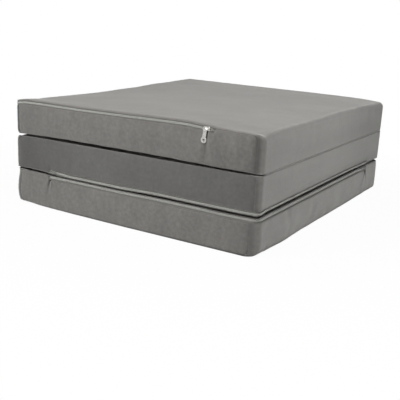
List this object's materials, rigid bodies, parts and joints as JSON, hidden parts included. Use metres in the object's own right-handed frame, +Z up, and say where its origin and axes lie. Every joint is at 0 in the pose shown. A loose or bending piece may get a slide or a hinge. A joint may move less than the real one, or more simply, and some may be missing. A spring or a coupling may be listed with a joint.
{
  "type": "folding mattress",
  "caption": "Tri-fold guest mattress in a Z fold: three foam sections in zipped grey velour covers, joined by fabric fold hinges, with a coil zip round each section.",
  "frame": {"origin": "middle of the folded stack's plan, on the surface that it lies on", "axes": "+X along a section towards the upper fold, +Y across the mattress away from the long side with the zip pull, +Z up"},
  "size_m": [0.6391, 0.7561, 0.2482],
  "materials": {
    "cover_velour": "brushed short-pile polyester velour",
    "zip_tape": "woven polyester tape with a nylon coil",
    "foam": "open-cell polyurethane foam",
    "nickel_hardware": "bright nickel plate over die-cast zinc",
    "lacquered_slider": "grey lacquer over die-cast zinc"
  },
  "bodies": {
    "foot_section": {"foot_foam_core": "foam", "foot_cover_underside": "cover_velour", "foot_cover_wrap": "cover_velour", "foot_cover_near_side": "cover_velour", "foot_cover_far_side": "cover_velour", "foot_zip_tape_face": "zip_tape", "foot_zip_tape_side": "zip_tape", "lower_hinge_strip": "cover_velour"},
    "middle_section": {"middle_foam_core": "foam", "middle_cover_underside": "cover_velour", "middle_cover_end": "cover_velour", "middle_cover_face": "cover_velour", "middle_cover_near_side": "cover_velour", "middle_cover_far_side": "cover_velour", "middle_zip_tape_face": "zip_tape", "middle_zip_tape_side": "zip_tape", "upper_hinge_strip": "cover_velour"},
    "head_section": {"head_foam_core": "foam", "head_cover_underside": "cover_velour", "head_cover_face": "cover_velour", "head_cover_near_side": "cover_velour", "head_cover_far_side": "cover_velour", "head_zip_tape_face": "zip_tape", "head_zip_tape_side": "zip_tape"},
    "foot_slider": {"foot_zip_slider": "lacquered_slider"},
    "middle_slider": {"middle_zip_slider": "lacquered_slider"},
    "head_slider": {"head_zip_slider": "nickel_hardware"},
    "head_pull": {"head_zip_pull": "nickel_hardware"}
  },
  "joints": [
    {"name": "middle_fold", "type": "hinge", "parent": "foot_section", "child": "middle_section", "pos_m": [-0.319, 0, 0.0813], "axis": [0, -1, 0], "range_deg": [0, 180], "deforming": ["lower_hinge_strip"]},
    {"name": "head_fold", "type": "hinge", "parent": "middle_section", "child": "head_section", "pos_m": [0.319, 0, 0.1639], "axis": [0, 1, 0], "range_deg": [0, 180], "deforming": ["upper_hinge_strip"]},
    {"name": "foot_zip_slide", "type": "slide", "parent": "foot_section", "child": "foot_slider", "axis": [0, -1, 0], "range_m": [0, 0.6], "deforming": ["foot_zip_tape_face", "foot_zip_tape_side"]},
    {"name": "middle_zip_slide", "type": "slide", "parent": "middle_section", "child": "middle_slider", "axis": [1, 0, 0], "range_m": [0, 0.49], "deforming": ["middle_zip_tape_face", "middle_zip_tape_side"]},
    {"name": "head_zip_slide", "type": "slide", "parent": "head_section", "child": "head_slider", "axis": [-1, 0, 0], "range_m": [0, 0.49], "deforming": ["head_zip_tape_face", "head_zip_tape_side"]},
    {"name": "head_pull_swing", "type": "hinge", "parent": "head_slider", "child": "head_pull", "pos_m": [0.1924, -0.37755, 0.2384], "axis": [0, 1, 0], "range_deg": [-40, 140]}
  ]
}
